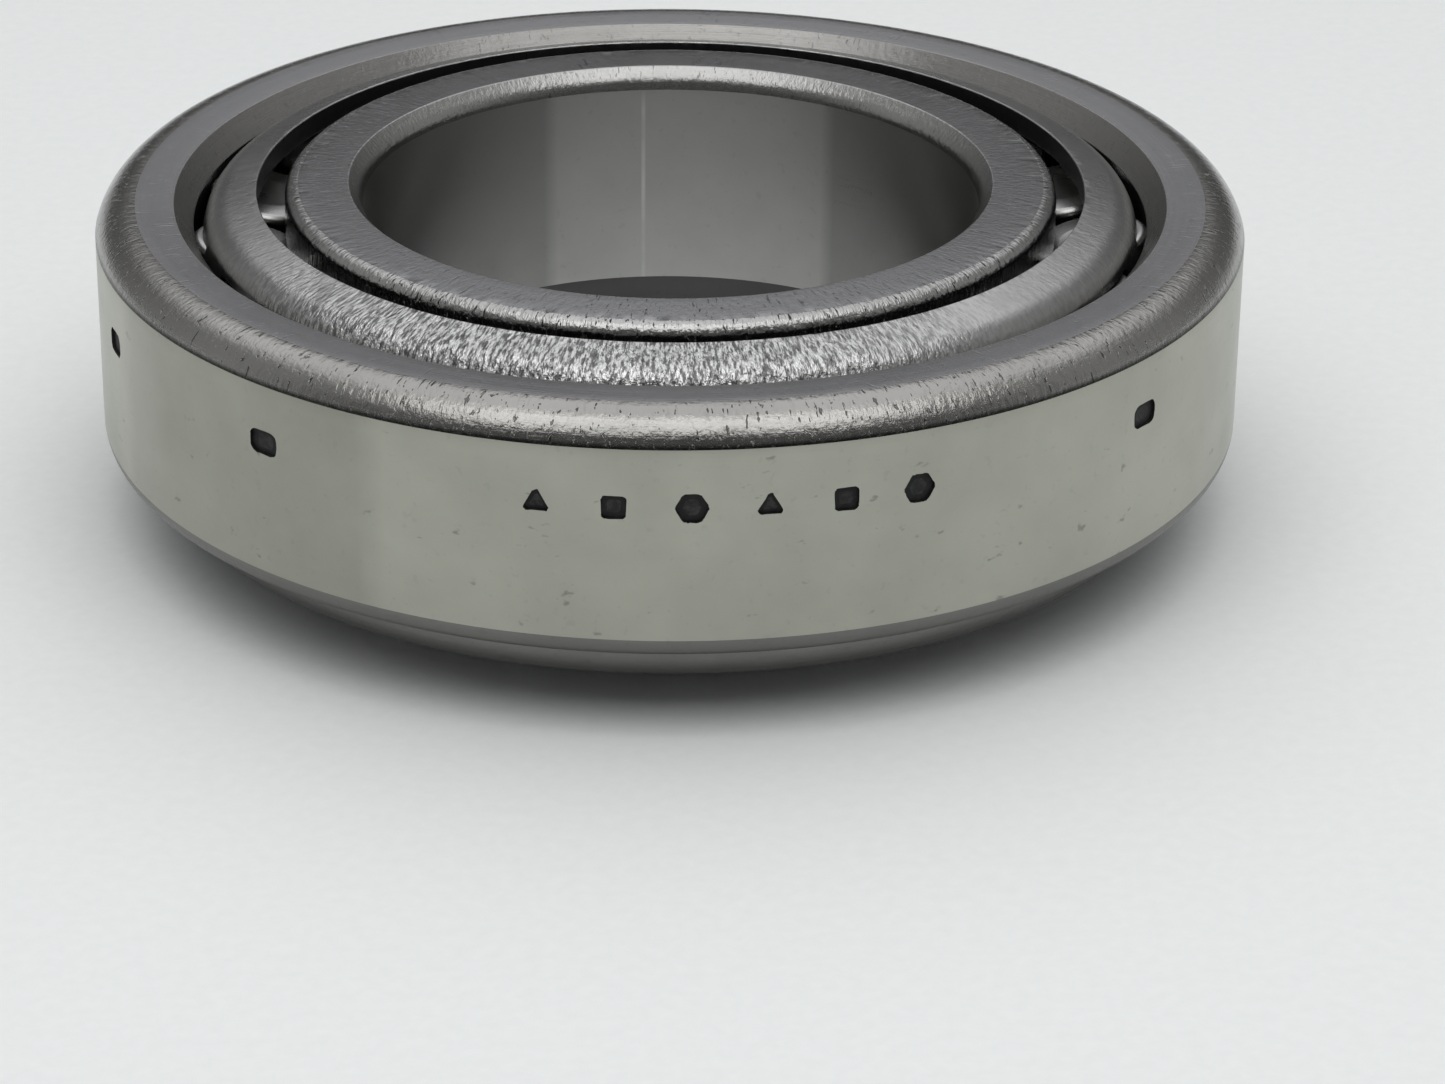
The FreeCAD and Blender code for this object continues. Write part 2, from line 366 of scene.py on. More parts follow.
def steel(name, color, roughness, anisotropic=0.4, lean=1, lines=0.2, dents=0.0, chatter=0.0,
          nicks=0.0, stain=0.4, smears=0.0, painted_shade_below=None, reflection_band=None, scratch=None, worn_side=None):
    """Ground or turned steel, with its tool lines around the Z axis.

    lines, dents, chatter and nicks are the strengths of the tool's lines, of small hollows, of short
    waves across the lines and of dark strokes across them. stain darkens soft patches and smears are
    small smudges. painted_shade_below is painted shade: it blackens the surface under a place on the
    outline. strip is a painted reflection: it holds the middle and half width, in degrees, of a
    band along the axis, then how bright the surface is inside and outside it. scratch is the angle
    of one long bright scratch. worn_side is the angle where dents and chatter are deepest.
    """
    n = Nodes(name)
    place, around, along = n.turned_coordinates(lean)
    lit_side_detail = 1.0
    if worn_side is not None:
        lit_side_detail = n.spread(n.facing(around, worn_side), 0.3, 0.9, 0.4, 1.0)
    patches = n.noise(place, 160.0, 4.0, 0.6)
    tint = n.blend(n.spread(patches, 0.35, 0.75), shade(color, 1.0), shade(color, 1 - 0.3 * stain))
    # Painted reflection: a band along the axis is made lighter or darker than the rest of the surface.
    if reflection_band is not None:
        middle, half_width, inside, outside = reflection_band
        mask = n.spread(n.facing(around, middle), cosine(half_width + 2), cosine(half_width - 1))
        level = n.spread(mask, 0.0, 1.0, outside, inside)
        tint = n.add("VectorMath", {0: tint, 3: level}, operation="SCALE").outputs[0]
    specks = n.spread(n.noise(place, 2600.0, 2.0), 0.64, 0.72)
    tint = n.blend(n.math("MULTIPLY", specks, 0.4 * stain), tint, shade(color, 0.5))
    rings = n.noise(n.stretched(around, along, 1.5, 22.0), 1.0, 3.0, 0.7)
    gloss = n.math("ADD", n.math("MULTIPLY", patches, 0.16), n.math("MULTIPLY", rings, 0.10))
    gloss = n.math("ADD", gloss, roughness - 0.13)
    normal = n.bump(n.noise(place, 9000.0, 2.0, 0.6), 0.1, GRAIN_DEPTH)
    normal = n.bump(rings, lines, LINE_DEPTH, normal)
    if smears:
        smudges = n.noise(n.stretched(around, along, 22.0, 1.6), 1.0, 3.0, 0.6)
        mask = n.math("MULTIPLY", n.spread(smudges, 0.67, 0.74), smears)
        tint = n.blend(mask, tint, shade(color, 0.3))
    if dents:
        hollows = n.noise(n.stretched(around, along, 75.0, 2.2), 1.0, 3.0, 0.6)
        normal = n.bump(n.math("MULTIPLY", hollows, lit_side_detail), dents, DENT_DEPTH, normal)
    if chatter:
        waves = n.noise(n.stretched(around, along, 120.0, 0.9), 1.0, 2.0, 0.6)
        normal = n.bump(n.math("MULTIPLY", waves, lit_side_detail), chatter, CHATTER_DEPTH, normal)
        mask = n.spread(waves, 0.46, 0.30, 0.0, 0.4 * chatter)
        tint = n.blend(mask, tint, shade(color, 0.3))
    if nicks:
        skew = n.math("MULTIPLY", n.noise(place, 700.0, 1.0), 2.0)
        slanted = n.math("ADD", along, skew)
        strokes = n.noise(n.stretched(around, slanted, 150.0, 1.7), 1.0, 2.0, 0.5)
        mask = n.spread(strokes, 0.64, 0.70)
        normal = n.bump(n.math("SUBTRACT", 1.0, mask), nicks, NICK_DEPTH, normal)
        tint = n.blend(n.math("MULTIPLY", mask, min(1.0, 1.2 * nicks)), tint, shade(color, 0.15))
    # Painted shade: a dark line along the foot of the turned corner, where it meets the ground outside.
    if painted_shade_below is not None:
        mask = n.spread(along, painted_shade_below + 0.10, painted_shade_below + 0.32, 0.92, 0.0)
        tint = n.blend(mask, tint, shade(color, 0.08))
    if scratch is not None:
        line = n.spread(n.facing(around, scratch), cosine(0.5), cosine(0.1))
        broken = n.spread(n.noise(place, 500.0), 0.35, 0.65, 0.1, 0.6)
        tint = n.blend(n.math("MULTIPLY", line, broken), tint, shade(color, 1.6))
    tangent = n.add("Tangent", direction_type="RADIAL", axis="Z").outputs[0]
    n.feed(n.shader, {"Base Color": tint, "Roughness": gloss, "Normal": normal, "Metallic": 1.0,
                      "Anisotropic": anisotropic, "Anisotropic Rotation": 0.25, "Tangent": tangent})
    return n.material


def cage_steel(name, lit_side):
    """Pressed and tumbled sheet. Over its bend, on the side facing the light, bright and dark flecks are drawn:
    painted highlight and painted shade, with bumps under them.
    """
    n = Nodes(name)
    place, around, along = n.turned_coordinates(-1)
    # The side facing the light, where the flecks are painted and bumped.
    lit_side_mask = n.spread(n.facing(around, lit_side), 0.62, 0.93, 0.10, 1.0)
    sway = n.math("MULTIPLY", n.noise(place, 420.0, 1.0), 1.2)
    swaying = n.math("ADD", along, sway)
    flecks = n.noise(n.stretched(around, swaying, 130.0, 1.6), 1.0, 3.0, 0.65)
    facets = n.noise(n.stretched(around, swaying, 105.0, 2.2), 1.0, 2.0, 0.6)
    peel = n.noise(place, 4200.0, 3.0, 0.6)
    patches = n.noise(place, 220.0, 3.0, 0.6)
    tint = n.blend(n.spread(patches, 0.35, 0.7), (0.39, 0.39, 0.385, 1), (0.33, 0.33, 0.325, 1))
    # Painted highlight and painted shade: bright and dark flecks on the side facing the light, in place of glints
    # of the facets.
    lit_side_detail = n.blend(n.spread(flecks, 0.42, 0.56), (0.10, 0.10, 0.10, 1), (0.66, 0.665, 0.66, 1))
    tint = n.blend(n.math("MULTIPLY", lit_side_mask, 0.85), tint, lit_side_detail)
    gloss = n.math("ADD", n.math("MULTIPLY", patches, 0.2), 0.18)
    normal = n.bump(peel, 0.3, PEEL_DEPTH)
    normal = n.bump(n.math("MULTIPLY", facets, lit_side_mask), 1.0, FACET_DEPTH, normal)
    normal = n.bump(n.math("MULTIPLY", flecks, lit_side_mask), 1.0, FLECK_DEPTH, normal)
    n.feed(n.shader, {"Base Color": tint, "Roughness": gloss, "Normal": normal, "Metallic": 1.0})
    return n.material


def roller_steel(name, color, roughness):
    """Honed roller surface with a fine grain and a thin film of oil."""
    n = Nodes(name)
    place = n.add("TexCoord").outputs["Object"]
    film = n.noise(place, 500.0, 3.0, 0.6)
    tint = n.blend(n.spread(film, 0.4, 0.7), shade(color, 1.0), shade(color, 0.8))
    gloss = n.math("ADD", n.math("MULTIPLY", film, 0.12), roughness)
    grain = n.bump(n.noise(place, 7000.0, 2.0, 0.6), 0.12, GRAIN_DEPTH)
    n.feed(n.shader, {"Base Color": tint, "Roughness": gloss, "Normal": grain, "Metallic": 1.0})
    return n.material


def burnt_steel(name, dark, light):
    """Blackened floor of a pressed mark, mottled between two greys."""
    n = Nodes(name)
    place = n.add("TexCoord").outputs["Object"]
    crust = n.noise(place, 2600.0, 3.0, 0.6)
    tint = n.blend(n.spread(crust, 0.4, 0.75), (dark, dark, dark, 1), (light, light, light, 1))
    n.feed(n.shader, {"Base Color": tint, "Roughness": n.spread(crust, 0.2, 0.8, 0.55, 0.85),
                      "Normal": n.bump(crust, 0.6, CRUST_DEPTH), "Metallic": 0.3})
    return n.material


def pale_floor(name):
    """Matt off-white surface with a fine grain."""
    n = Nodes(name)
    place = n.add("TexCoord").outputs["Object"]
    grain = n.noise(place, 1500.0, 3.0, 0.6)
    tint = n.blend(n.spread(grain, 0.3, 0.7), (0.88, 0.90, 0.895, 1), (0.91, 0.93, 0.925, 1))
    normal = n.bump(grain, 0.1, FLOOR_GRAIN_DEPTH)
    n.feed(n.shader, {"Base Color": tint, "Roughness": 0.9, "Normal": normal})
    return n.material


FINISHES = {
    # The outside's darker band at -137 degrees is a painted reflection.
    "outside": steel("ground_outside", (0.445, 0.450, 0.390), 0.36, 0.7, lines=0.25, stain=0.35,
                     smears=0.5, reflection_band=(-137, 18, 0.86, 1.0)),
    "cup_face": steel("ground_cup_face", (0.46, 0.463, 0.472), 0.20, 0.0, lines=0.15, nicks=0.1),
    # The dark line at the corner's foot, along the ground outside, is painted shade.
    "corner": steel("turned_corner", (0.345, 0.340, 0.325), 0.18, 0.1, -1, lines=0.3, dents=0.25,
                    chatter=0.25, nicks=0.6, painted_shade_below=CUP_WALL_HIGH - CUP_R, worn_side=-84),
    "mouth": steel("turned_mouth", (0.30, 0.295, 0.285), 0.28, 0.1, lines=0.4, dents=0.1, nicks=0.2),
    "scale": steel("unground_corner", (0.20, 0.20, 0.19), 0.36, 0.2, -1, lines=0.3, dents=0.1),
    "cone_face": steel("ground_cone_face", (0.34, 0.343, 0.35), 0.20, 0.3, lines=0.15, dents=0.06,
                       nicks=0.4),
    "rib": steel("turned_rib", (0.42, 0.42, 0.41), 0.17, 0.1, -1, lines=0.3, dents=0.4, chatter=0.5,
                 nicks=0.9, worn_side=-90),
    "bore_edge": steel("turned_bore_edge", (0.38, 0.38, 0.37), 0.22, 0.1, lines=0.3, dents=0.25,
                       nicks=0.3),
    # The bore is painted darker outside a band at 86 degrees: a painted reflection, lighter in the middle.
    "bore": steel("ground_bore", (0.51, 0.51, 0.495), 0.32, 0.8, lines=0.1,
                  reflection_band=(86, 28, 1.0, 0.70), scratch=95.5),
    # The bore's foot corner is dark unground oxide, painted darker still than the other unground corner: painted
    # shade at the bottom of the bore.
    "bore_foot": steel("bore_corner_oxide_and_shade", (0.10, 0.10, 0.098), 0.36, 0.2, lines=0.3, dents=0.1),
    "race": steel("honed_raceway", (0.45, 0.45, 0.44), 0.20, 0.5, lines=0.1, stain=0.3),
    # -100 degrees is the side facing the light, where the cage's flecks of painted highlight and shade lie.
    "cage": cage_steel("pressed_cage", -100),
    # Painted shade: the cage's underside is painted darker than the rest of the cage, for the shadow under the
    # cup.
    "cage_low": steel("cage_underside_painted_shade", (0.23, 0.23, 0.22), 0.40, 0.0, -1, lines=0.3, dents=0.1),
    # Painted shade: the cage's mouth edge is painted near black, for the dark gap between the cage and the cone.
    "cage_edge": steel("cage_mouth_painted_shade", (0.06, 0.06, 0.06), 0.45, 0.0, nicks=0.3, stain=0.5),
    "roller_side": roller_steel("roller_side", (0.50, 0.50, 0.49), 0.14),
    "roller_end": roller_steel("roller_end", (0.45, 0.45, 0.44), 0.22),
    "mark": burnt_steel("mark_rim", 0.006, 0.03),
    "mark_middle": burnt_steel("mark_middle", 0.015, 0.07),
}


# ---------------------------------------------------------------- cup

CORNER_HEIGHT = CUP_BACK_Z - CUP_WALL_HIGH
CORNER_BREAK = math.radians(15)
FACE_DISH = 0.10
MOUTH_CHAMFER = (0.82, 1.1)
FRONT_EASING = 0.3
CORNER_ZONE = 1.7
MARK_DEPTH = 0.15
MARK_MIDDLE_SCALE = 0.55
CUTTER_REACH = 0.5
MARK_Z = CUP_BACK_Z - 3.88
MARK_RADIUS = 0.72
MARK_ROW_CENTRE = -84.4
MARK_PITCH = 7.1
MARK_SIDES = (3, 4, 6, 3, 4, 6)
DASH_ANGLES = (-159.7, -131.0, -38.8)
DASH_SIZE = (1.5, 1.05)


def stamped_outline(corners, corner_radius, rng, wobble=0.02):
    """Outline with rounded corners and slightly uneven sides, as a worn stamp leaves."""
    points = []
    for index, corner in enumerate(corners):
        before, after = corners[index - 1], corners[(index + 1) % len(corners)]
        points += corner_arc(before, corner, after, corner_radius, 5)
        points.append((points[-1] + Vector(corner).lerp(Vector(after), 0.5)) / 2)
    return [point + Vector(rng.uniform(-wobble, wobble, 2)) for point in points]


def mark_shapes():
    """Outline and angle of every mark: a row of plain shapes, and dashes beside it."""
    rng = np.random.default_rng(SEED)
    first = MARK_ROW_CENTRE - MARK_PITCH * (len(MARK_SIDES) - 1) / 2
    shapes = []
    for index, sides in enumerate(MARK_SIDES):
        turns = [math.radians(-90 + 180 / sides + 360 * k / sides) for k in range(sides)]
        corners = [(MARK_RADIUS * math.cos(t), MARK_RADIUS * math.sin(t)) for t in turns]
        shapes.append((stamped_outline(corners, 0.05 * sides, rng), first + MARK_PITCH * index))
    half_w, half_h = DASH_SIZE[0] / 2, DASH_SIZE[1] / 2
    dash = [(-half_w, -half_h), (half_w, -half_h), (half_w, half_h), (-half_w, half_h)]
    shapes += [(stamped_outline(dash, 0.36, rng), angle) for angle in DASH_ANGLES]
    return shapes


def mark_cutter():
    """Closed prisms that cut all the marks into the cup's outside, each with a lighter middle."""
    floor_r = CUP_R - MARK_DEPTH
    levels = ((floor_r, MARK_MIDDLE_SCALE), (floor_r, 1.0), (CUP_R + CUTTER_REACH, 1.0))
    vertices, faces, slots = [], [], []
    for points, angle in mark_shapes():
        spin = Matrix.Rotation(math.radians(angle), 3, "Z")
        first, count = len(vertices), len(points)
        for r, scale in levels:
            ring = [Vector((r, p.x * scale, MARK_Z + p.y * scale)) for p in points]
            vertices += [tuple(spin @ corner * MM) for corner in ring]
        faces.append([first + i for i in reversed(range(count))])
        faces.append([first + 2 * count + i for i in range(count)])
        slots += [1, 0]
        for i in range(count):
            j = (i + 1) % count
            for ring in (first, first + count):
                faces.append([ring + i, ring + j, ring + count + j, ring + count + i])
                slots.append(0)
    mesh = bpy.data.meshes.new("mark_cutter")
    mesh.from_pydata(vertices, [], faces)
    mesh.materials.append(FINISHES["mark"])
    mesh.materials.append(FINISHES["mark_middle"])
    mesh.polygons.foreach_set("material_index", slots)
    return finish_mesh("mark_cutter", mesh)


def make_cup():
    """Outer ring. Its back corner was turned before the face and the outside were ground."""
    chamfer_width, chamfer_height = MOUTH_CHAMFER
    mouth_z = CUP_BACK_Z - chamfer_height
    mouth_r = (APEX_Z - mouth_z) * CUP_TAPER
    easing_z = CUP_FRONT_Z + FRONT_EASING
    easing_r = (APEX_Z - easing_z) * CUP_TAPER
    corner_r = CUP_R - CORNER_HEIGHT * math.tan(CORNER_BREAK)
    mouth_edge = (mouth_r + chamfer_width, CUP_BACK_Z - FACE_DISH)
    corner_radius = widest_radius((CUP_R, CUP_WALL_HIGH), (corner_r, CUP_BACK_Z), mouth_edge)
    outline = [
        (CUP_R, CUP_FRONT_Z, CUP_WALL_LOW - CUP_FRONT_Z, ("scale", "outside")),
        (CUP_R, CUP_WALL_HIGH, 0.0, "corner"),
        (corner_r, CUP_BACK_Z, corner_radius - 0.01, ("corner", "cup_face")),
        (*mouth_edge, 0.06, "mouth"),
        (mouth_r, mouth_z, 0.08, ("mouth", "race")),
        (easing_r, easing_z, 0.0, "race"),
        (easing_r + FRONT_EASING, CUP_FRONT_Z, 0.05, ("scale", "cup_face")),
    ]

    def on_corner(r, z):
        return ((z > CUP_WALL_HIGH + 0.05) & (r > CUP_R - CORNER_ZONE)).astype(float)

    relief = worn_relief(waviness=0.003, dents=0.004, seed=SEED + 2, where=on_corner)
    cup = lathe("cup_steel", outline, spacing=0.5, steps=16, relief=relief)
    cut(cup, mark_cutter())
    return cup


# ---------------------------------------------------------------- cone

SMALL_RIB_R = 16.9
SMALL_RIB_CORNER = 0.6
RIB_EDGE_ZONE = 0.8
LARGE_RIB_GAP = 0.05
BOTH_RIB_GAPS = 0.30
FACE_CROWN = 0.05
GROOVE = 0.2


def make_cone():
    """Inner ring. Its ribs stand square to the rollers' axes, so their planes lean with the radius."""
    lean = math.tan(ROLLER_TILT)
    base_r = math.hypot(ROLLER_BASE.x, ROLLER_BASE.y)
    large_plane = ROLLER_BASE.z - LARGE_RIB_GAP / math.cos(ROLLER_TILT)
    small_plane = large_plane + (ROLLER_LENGTH + BOTH_RIB_GAPS) / math.cos(ROLLER_TILT)

    def on_plane(plane_z, r):
        return plane_z + (r - base_r) * lean

    def race_meets(plane_z):
        r = (APEX_Z - plane_z + base_r * lean) / (1 / CONE_TAPER + lean)
        return r, on_plane(plane_z, r)

    large_r, large_z = race_meets(large_plane)
    small_r, small_z = race_meets(small_plane)
    outline = [
        (BORE_R, CONE_BACK_Z, BORE_WALL_LOW, ("bore_foot", "cone_face")),
        (CONE_RIB_R, CONE_BACK_Z, 0.4, ("scale", "rib")),
        (CONE_RIB_R, on_plane(large_plane, CONE_RIB_R), 0.2, ("rib", "race")),
        (large_r + GROOVE, on_plane(large_plane, large_r + GROOVE) - 0.005, 0.0, "race"),
        (large_r - GROOVE, large_z - GROOVE / 2, 0.1, "race"),
        (large_r - GROOVE * CONE_TAPER, large_z + GROOVE, 0.0, "race"),
        (small_r + GROOVE * CONE_TAPER, small_z - GROOVE, 0.0, "race"),
        (small_r - GROOVE, small_z + GROOVE / 2, 0.1, "race"),
        (small_r + GROOVE, on_plane(small_plane, small_r + GROOVE), 0.0, "race"),
        (SMALL_RIB_R, on_plane(small_plane, SMALL_RIB_R), 0.2, "rib"),
        (SMALL_RIB_R, CONE_FRONT_Z - FACE_CROWN, SMALL_RIB_CORNER, ("rib", "cone_face")),
        (BORE_R + CONE_FRONT_Z - BORE_WALL_HIGH, CONE_FRONT_Z, 0.1, "bore_edge"),
        (BORE_R, BORE_WALL_HIGH, 0.9, ("bore_edge", "bore")),
    ]

    def on_rib_edge(r, z):
        return ((z > CONE_FRONT_Z - RIB_EDGE_ZONE) & (r > SMALL_RIB_R - RIB_EDGE_ZONE)).astype(float)

    relief = worn_relief(waviness=0.010, dents=0.012, seed=SEED + 3, where=on_rib_edge)
    return lathe("cone_steel", outline, spacing=0.5, steps=14, relief=relief)


# ---------------------------------------------------------------- cage

CAGE_THICKNESS = 1.0
CAGE_TO_RACE = 0.45
CAGE_LIP_END = (22.45, 1.6)
CAGE_LIP_SLOPE = math.radians(35)
CAGE_MOUTH = (18.1, 14.5)
CAGE_FLANGE_SLOPE = math.radians(15)
POCKET_GAP = 0.15
POCKET_SEGMENTS = 72


def line_cross(a, along_a, b, along_b):
    """Where the line from a meets the line from b."""
    turn = along_a.x * along_b.y - along_a.y * along_b.x
    step = ((b.x - a.x) * along_b.y - (b.y - a.y) * along_b.x) / turn
    return a + along_a * step


def inner_path(points, distance):
    """The same open path moved inwards by a distance."""
    moved = []
    for start, end in zip(points, points[1:]):
        along = (end - start).normalized()
        side = Vector((-along.y, along.x)) * distance
        moved.append((start + side, end + side, along))
    path = [moved[0][0]]
    for (a, _, along_a), (b, _, along_b) in zip(moved, moved[1:]):
        path.append(line_cross(a, along_a, b, along_b))
    return path + [moved[-1][1]]


def roller_frame(index):
    """Matrix that puts a roller made on the Z axis, large end at the origin, in its place."""
    joint = joint_named(f"{ROLLERS[index]}_spin")
    axis = Vector(joint["axis"])
    turn = Vector((0, 0, 1)).rotation_difference(axis).to_matrix().to_4x4()
    return Matrix.Translation(Vector(joint["pos_m"])) @ turn


def pocket_cutter():
    """All the pockets as one mesh of separate tapered plugs."""
    work = bmesh.new()
    growth = math.tan(ROLLER_HALF_ANGLE)
    depth = (ROLLER_LENGTH + 2 * POCKET_GAP) * MM
    low_r = (ROLLER_LARGE_R + POCKET_GAP + POCKET_GAP * growth) * MM
    high_r = (ROLLER_SMALL_R + POCKET_GAP - POCKET_GAP * growth) * MM
    for index in range(len(ROLLERS)):
        middle = Matrix.Translation((0, 0, ROLLER_LENGTH / 2 * MM))
        bmesh.ops.create_cone(work, cap_ends=True, segments=POCKET_SEGMENTS, radius1=low_r,
                              radius2=high_r, depth=depth, matrix=roller_frame(index) @ middle)
    mesh = bpy.data.meshes.new("pocket_cutter")
    work.to_mesh(mesh)
    work.free()
    mesh.materials.append(FINISHES["cage"])
    return finish_mesh("pocket_cutter", mesh)


def make_cage():
    """Pressed shell: a lip at the large end, a wall beside the raceway, and a flange with the mouth."""
    wall = Vector((RACE_R_AT_BACK - CAGE_TO_RACE / math.cos(CUP_ANGLE), CUP_BACK_Z))
    lip_end, mouth = Vector(CAGE_LIP_END), Vector(CAGE_MOUTH)
    lip_along = Vector((math.sin(CAGE_LIP_SLOPE), math.cos(CAGE_LIP_SLOPE)))
    flange_along = Vector((-math.cos(CAGE_FLANGE_SLOPE), math.sin(CAGE_FLANGE_SLOPE)))
    wall_along = Vector((-CUP_TAPER, 1))
    outside = [lip_end, line_cross(lip_end, lip_along, wall, wall_along),
               line_cross(wall, wall_along, mouth, flange_along), mouth]
    inside = inner_path(outside, CAGE_THICKNESS)
    inside[-1] = line_cross(inside[-1], flange_along, mouth, Vector((0, 1)))
    outer_bends = (0.15, 1.6, 1.5, 0.06)
    inner_bends = (0.15, 0.6, 0.5, 0.1)
    outer_finishes = ("cage_low", ("cage_low", "cage"), "cage", ("cage", "cage_edge"))
    inner_finishes = ("cage", "cage", "cage", ("cage_edge", "cage"))
    outer = list(zip(outside, outer_bends, outer_finishes))
    inner = list(zip(inside, inner_bends, inner_finishes))
    outline = [(p.x, p.y, bend, finish) for p, bend, finish in outer + inner[::-1]]
    relief = worn_relief(waviness=0.006, dents=0.006, seed=SEED + 1)
    cage = lathe("cage_steel", outline, spacing=0.3, steps=12, relief=relief)
    cut(cage, pocket_cutter())
    return cage


# ---------------------------------------------------------------- rollers

ROLLER_SEGMENTS = 96
ROLLER_CORNER = 0.35
END_DISH = 0.06
DISH_FLOOR_R = 0.8
LARGE_DISH_R = 1.5
SMALL_DISH_R = 1.3
DISH_EDGE = 0.3


def roller_outline():
    """Half section of a roller on the Z axis: a shallow hollow in each end, and rounded corners."""
    return [
        (DISH_FLOOR_R, END_DISH, 0.0, "roller_end"),
        (LARGE_DISH_R, 0.0, DISH_EDGE, "roller_end"),
        (ROLLER_LARGE_R, 0.0, ROLLER_CORNER, ("roller_end", "roller_side")),
        (ROLLER_SMALL_R, ROLLER_LENGTH, ROLLER_CORNER, "roller_end"),
        (SMALL_DISH_R, ROLLER_LENGTH, DISH_EDGE, "roller_end"),
        (DISH_FLOOR_R, ROLLER_LENGTH - END_DISH, 0.0, "roller_end"),
    ]


def make_roller(index):
    """One roller in its place, with each end closed by a fan of triangles."""
    outline = roller_outline()
    points, finishes = dense_outline(outline, spacing=0.8, steps=6)
    last = points.index(Vector(outline[-1][:2]))
    angles = [2 * math.pi * k / ROLLER_SEGMENTS for k in range(ROLLER_SEGMENTS)]
    names = ["roller_side", "roller_end"]
    work = bmesh.new()
    rings = []
    for p in points[:last + 1]:
        places = [(p.x * math.cos(a) * MM, p.x * math.sin(a) * MM, p.y * MM) for a in angles]
        rings.append([work.verts.new(place) for place in places])
    for i in range(len(rings) - 1):
        for k in range(ROLLER_SEGMENTS):
            m = (k + 1) % ROLLER_SEGMENTS
            face = work.faces.new((rings[i][k], rings[i][m], rings[i + 1][m], rings[i + 1][k]))
            face.material_index = names.index(finishes[i])
    for ring in (rings[0], rings[-1]):
        hub = work.verts.new(sum((v.co for v in ring), Vector()) / ROLLER_SEGMENTS)
        for k in range(ROLLER_SEGMENTS):
            face = work.faces.new((ring[k], ring[(k + 1) % ROLLER_SEGMENTS], hub))
            face.material_index = names.index("roller_end")
    name = ROLLERS[index] + "_steel"
    mesh = bpy.data.meshes.new(name)
    work.to_mesh(mesh)
    work.free()
    for finish in names:
        mesh.materials.append(FINISHES[finish])
    mesh.transform(roller_frame(index))
    return finish_mesh(name, mesh)


# ---------------------------------------------------------------- stage, light and camera

FLOOR_HALF = 1.5
LIGHT_TARGET = (0, 0, 0.007)

# Greys of the studio's walls, from the viewer's side round to the far side, and the overhead
# light, which sets in with height, and sooner on the far side
WALL_STOPS = [(0.0, 0.10), (0.25, 0.18), (0.5, 0.42), (0.75, 0.34), (1.0, 0.08)]
OVERHEAD_STOPS = [(0.80, 0.0), (0.89, 0.36), (0.98, 1.0)]
OVERHEAD_LEAN = 0.5
OVERHEAD_COLOR = (1.16, 1.16, 1.18, 1)

LENS = 116.7
SENSOR_WIDTH = 36.0
CAMERA_PLACE = (0.0, -0.1923, 0.088784)
CAMERA_PITCH = math.radians(25.54)
CAMERA_YAW = math.radians(0.72)
CAMERA_ROLL = math.radians(0.55)


def make_floor():
    """Plain square floor under the bearing."""
    mesh = bpy.data.meshes.new("floor")
    low, high = -FLOOR_HALF, FLOOR_HALF
    corners = [(low, low, 0), (high, low, 0), (high, high, 0), (low, high, 0)]
    mesh.from_pydata(corners, [], [(0, 1, 2, 3)])
    mesh.materials.append(pale_floor("pale_floor"))
    floor = bpy.data.objects.new("floor", mesh)
    bpy.context.scene.collection.objects.link(floor)


def add_softbox(name, elevation, distance, size, power):
    """Rectangular area light on the viewer's side that faces the bearing."""
    light = bpy.data.lights.new(name, "AREA")
    light.shape = "RECTANGLE"
    light.size, light.size_y = size
    light.energy = power
    box = bpy.data.objects.new(name, light)
    bpy.context.scene.collection.objects.link(box)
    e = math.radians(elevation)
    box.location = Vector((0, -math.cos(e), math.sin(e))) * distance
    box.rotation_mode = "QUATERNION"
    box.rotation_quaternion = (Vector(LIGHT_TARGET) - box.location).to_track_quat("-Z", "Y")


def set_stops(node, stops):
    """Greys of a color ramp at the given positions."""
    ramp = node.color_ramp
    while len(ramp.elements) < len(stops):
        ramp.elements.new(0.5)
    for element, (position, value) in zip(ramp.elements, stops):
        element.position = position
        element.color = (value, value, value, 1)


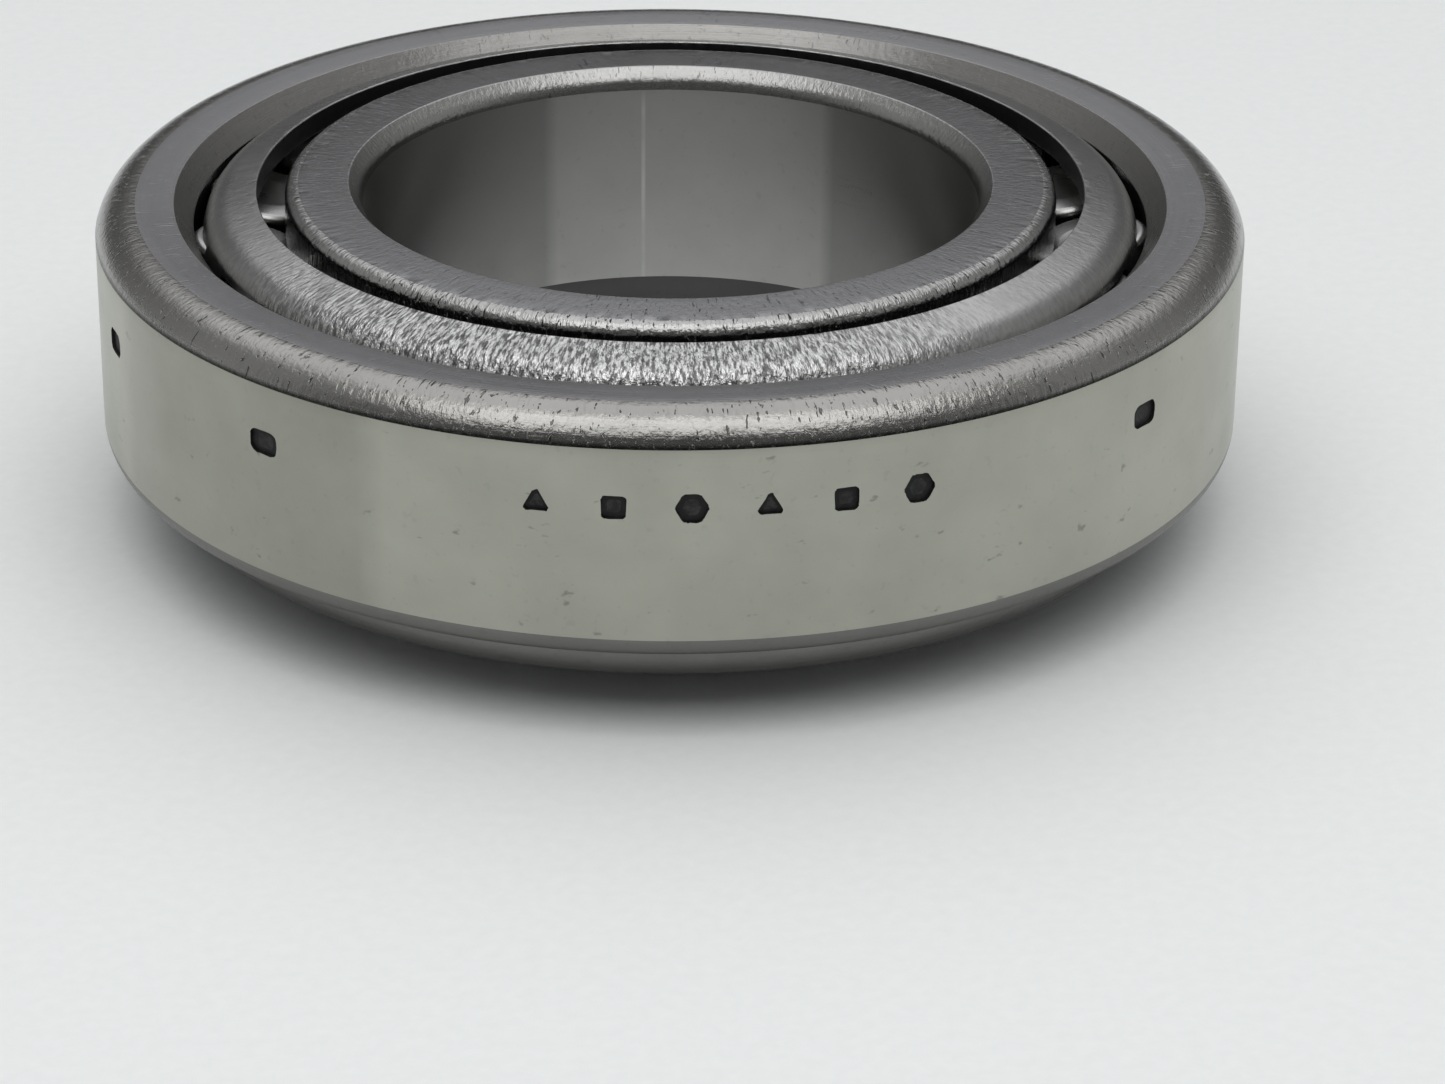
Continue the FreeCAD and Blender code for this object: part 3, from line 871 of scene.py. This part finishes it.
def make_world():
    """Soft grey studio: walls that are dim in front and behind, and light from overhead."""
    world = bpy.data.worlds.new("studio")
    world.use_nodes = True
    bpy.context.scene.world = world
    tree = world.node_tree
    link = tree.links.new
    place = tree.nodes.new("ShaderNodeTexCoord")
    parts = tree.nodes.new("ShaderNodeSeparateXYZ")
    link(place.outputs["Generated"], parts.inputs[0])
    depth = tree.nodes.new("ShaderNodeMapRange")
    depth.inputs["From Min"].default_value = -1.0
    link(parts.outputs[1], depth.inputs["Value"])
    walls = tree.nodes.new("ShaderNodeValToRGB")
    link(depth.outputs[0], walls.inputs[0])
    set_stops(walls, WALL_STOPS)
    lean = tree.nodes.new("ShaderNodeMath")
    lean.operation = "MULTIPLY_ADD"
    lean.inputs[1].default_value = OVERHEAD_LEAN
    link(parts.outputs[1], lean.inputs[0])
    link(parts.outputs[2], lean.inputs[2])
    rise = tree.nodes.new("ShaderNodeValToRGB")
    set_stops(rise, OVERHEAD_STOPS)
    link(lean.outputs[0], rise.inputs[0])
    mix = tree.nodes.new("ShaderNodeMix")
    mix.data_type = "RGBA"
    mix.inputs[COLOR_B].default_value = OVERHEAD_COLOR
    link(rise.outputs[0], mix.inputs[0])
    link(walls.outputs[0], mix.inputs[COLOR_A])
    link(mix.outputs[COLOR_RESULT], tree.nodes["Background"].inputs[0])


def make_camera():
    """Long lens, low over the near edge of the cup."""
    camera = bpy.data.objects.new("camera", bpy.data.cameras.new("camera"))
    bpy.context.scene.collection.objects.link(camera)
    bpy.context.scene.camera = camera
    camera.data.lens = LENS
    camera.data.sensor_width = SENSOR_WIDTH
    camera.data.clip_start, camera.data.clip_end = 0.01, 10.0
    level = math.cos(CAMERA_PITCH)
    forward = Vector((math.sin(CAMERA_YAW) * level, math.cos(CAMERA_YAW) * level,
                      -math.sin(CAMERA_PITCH)))
    roll = Matrix.Rotation(CAMERA_ROLL, 3, "Z").to_quaternion()
    camera.location = CAMERA_PLACE
    camera.rotation_mode = "QUATERNION"
    camera.rotation_quaternion = forward.to_track_quat("-Z", "Y") @ roll


make_floor()
make_world()
add_softbox("key", 67, 0.6, (0.88, 0.42), 1.78)
make_camera()
bpy.context.scene.view_settings.view_transform = "Standard"

PIECES = [
    ("cup", "ground_steel", make_cup()),
    ("cone", "ring_steel", make_cone()),
    ("cage", "cage_steel", make_cage()),
]
PIECES += [(name, "roller_steel", make_roller(index)) for index, name in enumerate(ROLLERS)]
for body, slot, piece in PIECES:
    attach(piece, body)
    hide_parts(body)
